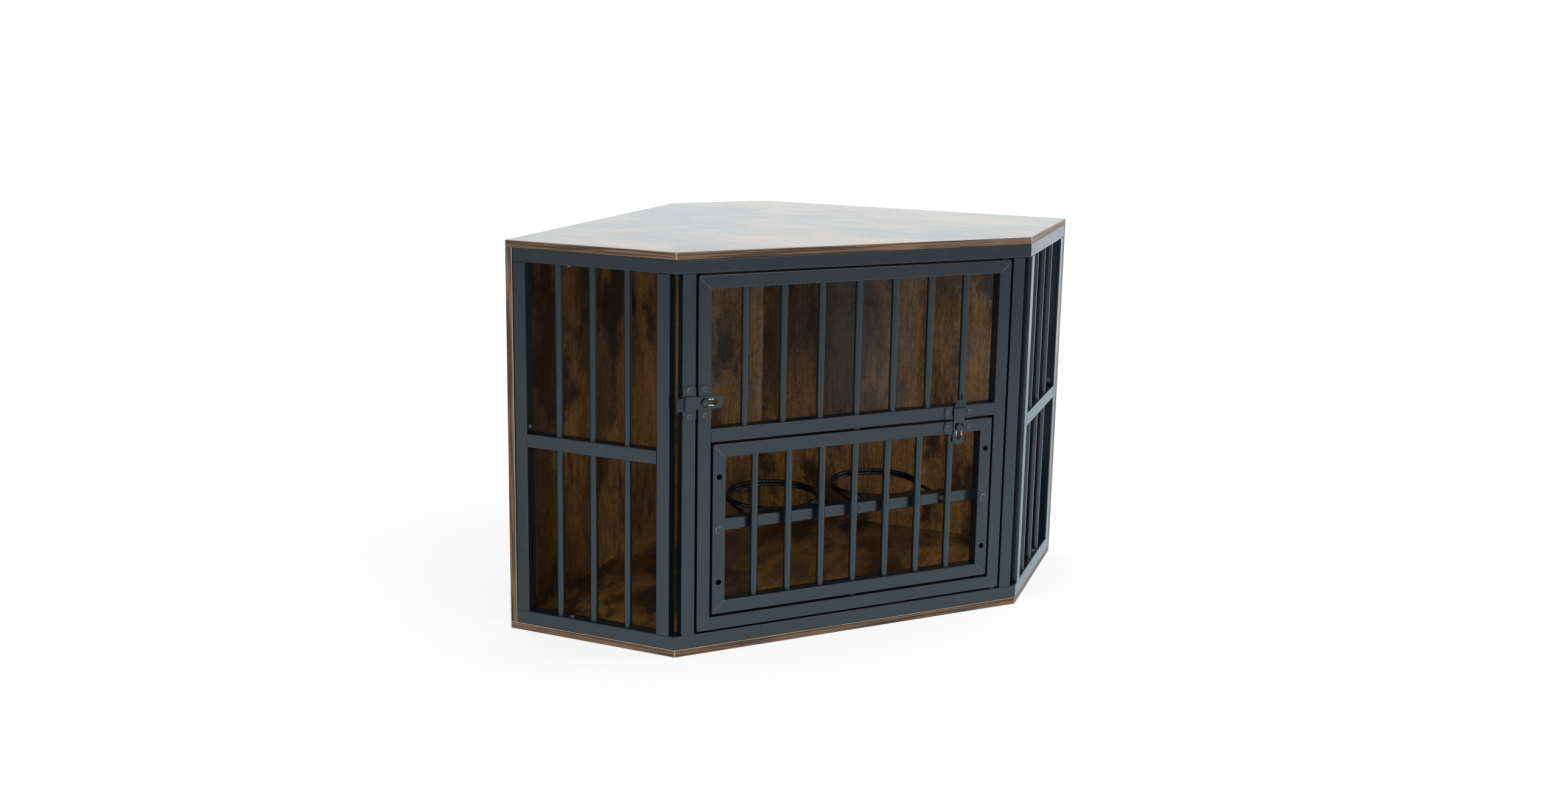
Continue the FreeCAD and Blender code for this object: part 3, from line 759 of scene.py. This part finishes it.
# ---- frames, bars and welds ---------------------------------------------------------------------
BAR_NODES = ("left_bars", "right_bars", "door_bars", "feeder_bars")
BARS_IN_SIDE, BARS_IN_DOOR = 3, 7
HALF_CORNER = math.radians(22.5)     # half the turn from the front frame to a side frame
FLARE_RINGS = ((0.6, 1.015), (0.4, 1.07))   # share of the fillet's height, growth of the ring
BEAD_TIP = 0.35                      # size of a bead's first ring, as a share of the bead's
BEAD_RIPPLE = 1.16                   # how much a bead swells and narrows at each ripple
BEAD_START, BEAD_END = 2.3, 0.45     # swelling at a bead's start, narrowing at its end
BEAD_INSET, BEAD_FRONT = 1.5 * MM, 3.0 * MM   # clear of the tubes' edges, and of the front
SEAM_OUTER, SEAM_INNER = 2.4 * MM, 1.0 * MM   # clear of a mitre's outer and inner corner


class CRATE_OT_tubes(bpy.types.Operator):
    """Powder-coat the square tubes of the frames, the doors and the bowl crossbar"""
    bl_idname = "crate.tubes"
    bl_label = "Square tubes"

    def execute(self, context):
        coat = frame_coat()
        for node in nodes_in("frame_paint", *BAR_NODES):
            dressed(node, coat, setting("crate_sizes").tube_soften)
        return {"FINISHED"}


def make_bar(low, high):
    """One bar at the origin: a cylinder whose ends flare where the coat runs into the rail."""
    sizes = setting("crate_sizes")
    radius, flare = sizes.bar_diameter / 2, sizes.bar_fillet
    deselect()
    bpy.ops.mesh.primitive_cylinder_add(vertices=40, radius=radius, depth=high - low - 2 * flare,
                                        location=(0, 0, (low + high) / 2))
    bar = bpy.context.view_layer.objects.active
    settle(bar)
    pick(bar)
    bpy.ops.object.mode_set(mode="EDIT")
    for side in (-1, 1):
        for rise, grow in FLARE_RINGS:
            choose(bar, lambda place, normal, s=side: normal.z * s > 0.9, "FACE")
            bpy.ops.mesh.extrude_region_move(
                TRANSFORM_OT_translate={"value": (0, 0, side * flare * rise)})
            bpy.ops.transform.resize(value=(grow, grow, 1.0))
    bpy.ops.object.mode_set(mode="OBJECT")
    return bar


def spread(start, end, count, diameter):
    """Places of round bars with equal clear gaps between two points."""
    run = end - start
    gap = (run.length - count * diameter) / (count + 1)
    step = run.normalized()
    return [start + step * (gap + diameter / 2 + i * (gap + diameter)) for i in range(count)]


def make_bars(node, start, end, fields, count):
    """A row of bars between two posts, in each field between a lower and an upper rail."""
    made = []
    for low, high in fields:
        pattern = make_bar(low, high)
        for place in spread(start, end, count, setting("crate_sizes").bar_diameter):
            bar = pattern.copy()
            bar.data = pattern.data.copy()
            bar.location = (place.x, place.y, 0)
            bpy.context.scene.collection.objects.link(bar)
            made.append(bar)
        bpy.data.objects.remove(pattern)
    for bar in made:
        settle(bar)
    bars = join(node + "_round", made)
    smooth(bars)
    coat = bpy.data.materials["slate_powder_coat"]
    hand_over(bars, coat, body_of[node], "frame_paint", node)


class CRATE_OT_bars(bpy.types.Operator):
    """Model the round bars of the side frames and of both doors"""
    bl_idname = "crate.bars"
    bl_label = "Round bars"

    def execute(self, context):
        for side in ("left_", "right_"):
            near, far = centre_of(side + "front_post"), centre_of(side + "rear_post")
            inward = (far - near).normalized() * TUBE / 2
            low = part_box(side + "bottom_rail")[1].z
            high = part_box(side + "top_rail")[0].z
            mid_low, mid_high = (corner.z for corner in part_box(side + "mid_rail"))
            make_bars(side + "bars", near + inward, far - inward,
                      [(low, mid_low), (mid_high, high)], BARS_IN_SIDE)
        inward = Vector((TUBE / 2, 0, 0))
        for door, lower in (("door_", "mid_rail"), ("feeder_", "bottom_rail")):
            near, far = centre_of(door + "left_stile"), centre_of(door + "right_stile")
            low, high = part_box(door + lower)[1].z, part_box(door + "top_rail")[0].z
            make_bars(door + "bars", near + inward, far - inward, [(low, high)], BARS_IN_DOOR)
        return {"FINISHED"}


def make_bead(start, end, width, height, ripples):
    """A weld bead from start to end: rings of changing size pulled along its length."""
    run = Vector(end) - Vector(start)
    half_ripple = run.length / ripples / 2
    swells = [BEAD_RIPPLE, 1 / BEAD_RIPPLE] * ripples
    swells[0], swells[-1] = BEAD_START, BEAD_END
    deselect()
    bpy.ops.mesh.primitive_circle_add(vertices=14, radius=0.5, fill_type="NGON",
                                      rotation=(0, math.radians(90), 0))
    bead = bpy.context.view_layer.objects.active
    settle(bead)
    pick(bead)
    bpy.ops.object.mode_set(mode="EDIT")
    bpy.ops.mesh.select_all(action="SELECT")
    bpy.ops.transform.resize(value=(1, width * BEAD_TIP, height * BEAD_TIP))
    for swell in swells:
        bpy.ops.mesh.extrude_region_move(TRANSFORM_OT_translate={"value": (half_ripple, 0, 0)})
        bpy.ops.transform.resize(value=(1, swell, swell))
    bpy.ops.mesh.select_all(action="SELECT")
    bpy.ops.mesh.normals_make_consistent(inside=False)
    bpy.ops.object.mode_set(mode="OBJECT")
    bead.matrix_world = (Matrix.Translation(Vector(start))
                         @ Vector((1, 0, 0)).rotation_difference(run).to_matrix().to_4x4())
    settle(bead)
    apply_modifier(bead, "SUBSURF", levels=1, render_levels=1)
    smooth(bead, angle=60.0)
    return bead


def corner_beads(sizes):
    """Weld beads on the mitres between the front frame's rails and those of the sides."""
    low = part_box("front_bottom_rail")[1].z
    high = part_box("front_top_rail")[0].z
    inner = HALF_FRONT - TUBE * math.tan(HALF_CORNER)
    beads = []
    for side in (-1, 1):
        for z in (low, high):
            start = (side * (HALF_FRONT - BEAD_INSET), FRONT + BEAD_FRONT, z)
            end = (side * inner, FRONT + TUBE - BEAD_INSET, z)
            beads.append(make_bead(start, end, sizes.weld_width, sizes.weld_height, 8))
    return join("corner_weld_beads", beads)


def door_seams(door, sizes):
    """Ground-down weld lines across the front and the back of a door's four mitres."""
    left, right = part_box(door + "left_stile"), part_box(door + "right_stile")
    near, far = SEAM_OUTER, TUBE - SEAM_INNER
    seams = []
    for x, way in ((left[0].x, 1), (right[1].x, -1)):
        for z, rise in ((left[0].z, 1), (left[1].z, -1)):
            for y in (left[0].y, left[1].y):
                start = (x + way * near, y, z + rise * near)
                end = (x + way * far, y, z + rise * far)
                seams.append(make_bead(start, end, sizes.seam_width, sizes.seam_height, 9))
    return join(door + "mitre_seams", seams)


class CRATE_OT_welds(bpy.types.Operator):
    """Model the weld beads on the corner mitres and the dressed weld lines of the doors"""
    bl_idname = "crate.welds"
    bl_label = "Welds"

    def execute(self, context):
        sizes = setting("crate_sizes")
        coat = bpy.data.materials["slate_powder_coat"]
        hand_over(corner_beads(sizes), coat, "crate", "frame_paint")
        rubbed = seam_coat()
        for body, door in (("main_door", "door_"), ("feeder_door", "feeder_")):
            hand_over(door_seams(door, sizes), rubbed, body, "frame_paint")
        return {"FINISHED"}


# ---- bowl carrier -------------------------------------------------------------------------------
RING_NODES = ("left_bowl_ring", "right_bowl_ring", "left_cradle_wire", "right_cradle_wire")
# How far a ring's butt weld reaches to each side, and how much the wire swells there.
BUTT_WELD = ((4.2 * MM, 0.10 * MM), (2.2 * MM, 0.16 * MM))


def make_ring(node):
    """A closed wire ring with the small swelling of its butt weld at the back."""
    centre = centre_of(node)
    deselect()
    bpy.ops.mesh.primitive_torus_add(major_segments=120, minor_segments=20, location=centre,
                                     major_radius=RING_RADIUS, minor_radius=RING_WIRE / 2)
    ring = bpy.context.view_layer.objects.active
    settle(ring)
    pick(ring)
    bpy.ops.object.mode_set(mode="EDIT")
    for reach, swell in BUTT_WELD:
        choose(ring, lambda place, normal, r=reach: place.y > centre.y
               and abs(place.x - centre.x) < r)
        bpy.ops.transform.shrink_fatten(value=swell)
    bpy.ops.object.mode_set(mode="OBJECT")
    return ring


def edited_vertices(piece):
    """The piece's vertices as edit mode has them now."""
    piece.update_from_editmode()
    return piece.data.vertices


def make_cradle(node):
    """A U of wire: one leg drawn out, swung round the back of the bowl, and the other leg."""
    low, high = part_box(node)
    middle = centre_of(node)
    wire = RING_WIRE / 2
    arc_y = high.y - wire - RING_RADIUS
    deselect()
    bpy.ops.mesh.primitive_circle_add(vertices=20, radius=wire, fill_type="NGON",
                                      location=(middle.x + RING_RADIUS, low.y, middle.z),
                                      rotation=(math.radians(90), 0, 0))
    cradle = bpy.context.view_layer.objects.active
    settle(cradle)
    pick(cradle)
    bpy.ops.object.mode_set(mode="EDIT")
    bpy.ops.mesh.select_all(action="SELECT")
    bpy.ops.mesh.extrude_region_move(TRANSFORM_OT_translate={"value": (0, arc_y - low.y, 0)})
    bpy.ops.mesh.spin(steps=60, angle=-math.pi, center=(middle.x, arc_y, middle.z),
                      axis=(0, 0, 1))
    if not any(v.co.y > arc_y + RING_WIRE for v in edited_vertices(cradle)):
        raise RuntimeError(node + " was swung the wrong way")
    bpy.ops.mesh.extrude_region_move(TRANSFORM_OT_translate={"value": (0, low.y - arc_y, 0)})
    bpy.ops.mesh.select_all(action="SELECT")
    bpy.ops.mesh.remove_doubles(threshold=MERGE)
    bpy.ops.mesh.normals_make_consistent(inside=False)
    bpy.ops.object.mode_set(mode="OBJECT")
    return cradle


class CRATE_OT_bowl_wires(bpy.types.Operator):
    """Model the two bowl rings and the wires that they rest on"""
    bl_idname = "crate.bowl_wires"
    bl_label = "Bowl rings and wires"

    def execute(self, context):
        coat = wire_coat()
        for node in RING_NODES:
            make = make_ring if node.endswith("ring") else make_cradle
            piece = make(node)
            piece.name = node + "_round"
            smooth(piece)
            hand_over(piece, coat, body_of[node], slot_of[node], node)
        return {"FINISHED"}


# ---- latches, fasteners and pivots --------------------------------------------------------------
class CRATE_OT_latches(bpy.types.Operator):
    """Finish the sliding latches and their studs"""
    bl_idname = "crate.latches"
    bl_label = "Latches"

    def execute(self, context):
        coat = latch_coat()
        soften = setting("crate_sizes").sheet_soften
        sliders = {
            "main_latch_slider": slider_coat("main_slider_coat", centre_of("main_latch_stud"),
                                             Vector((1, 0, 0))),
            "feeder_latch_slider": slider_coat("feeder_slider_coat",
                                               centre_of("feeder_latch_stud"),
                                               Vector((0, 0, -1))),
        }
        for node in nodes_in("latch_paint"):
            dressed(node, sliders.get(node, coat), soften)
        return {"FINISHED"}


class CRATE_OT_fasteners(bpy.types.Operator):
    """Finish the screws, bolts, cam fittings, pins and bushes"""
    bl_idname = "crate.fasteners"
    bl_label = "Fasteners and pivots"

    def execute(self, context):
        soften = setting("crate_sizes").screw_soften
        for slot, material in (("fastener_paint", fastener_coat()),
                               ("bright_steel", plated_steel()),
                               ("bush_plastic", bush_nylon())):
            for node in nodes_in(slot):
                dressed(node, material, soften, segments=1)
        return {"FINISHED"}


# ---- add-on -------------------------------------------------------------------------------------
GROUPS = {"crate_sizes": CrateSizes, "crate_colours": CrateColours, "crate_stage": CrateStage}
STEPS = (CRATE_OT_stage, CRATE_OT_boards, CRATE_OT_tubes, CRATE_OT_bars, CRATE_OT_welds,
         CRATE_OT_bowl_wires, CRATE_OT_latches, CRATE_OT_fasteners)


class CRATE_PT_panel(bpy.types.Panel):
    """Lists the steps that finish the crate"""
    bl_idname = "CRATE_PT_panel"
    bl_label = "Dog Crate"
    bl_space_type = "VIEW_3D"
    bl_region_type = "UI"
    bl_category = "Dog Crate"

    def draw(self, context):
        for name in GROUPS:
            group = getattr(context.scene, name)
            box = self.layout.box()
            for key in group.__annotations__:
                box.prop(group, key)
        for step in STEPS:
            self.layout.operator(step.bl_idname)


CLASSES = (*GROUPS.values(), *STEPS, CRATE_PT_panel)


def register():
    for cls in CLASSES:
        bpy.utils.register_class(cls)
    for name, group in GROUPS.items():
        setattr(bpy.types.Scene, name, bpy.props.PointerProperty(type=group))


def unregister():
    for name in GROUPS:
        delattr(bpy.types.Scene, name)
    for cls in reversed(CLASSES):
        bpy.utils.unregister_class(cls)


def main():
    register()
    bpy.ops.crate.stage()
    bpy.ops.crate.boards()
    bpy.ops.crate.tubes()
    bpy.ops.crate.bars()
    bpy.ops.crate.welds()
    bpy.ops.crate.bowl_wires()
    bpy.ops.crate.latches()
    bpy.ops.crate.fasteners()
    deselect()


if __name__ == "__main__":
    main()
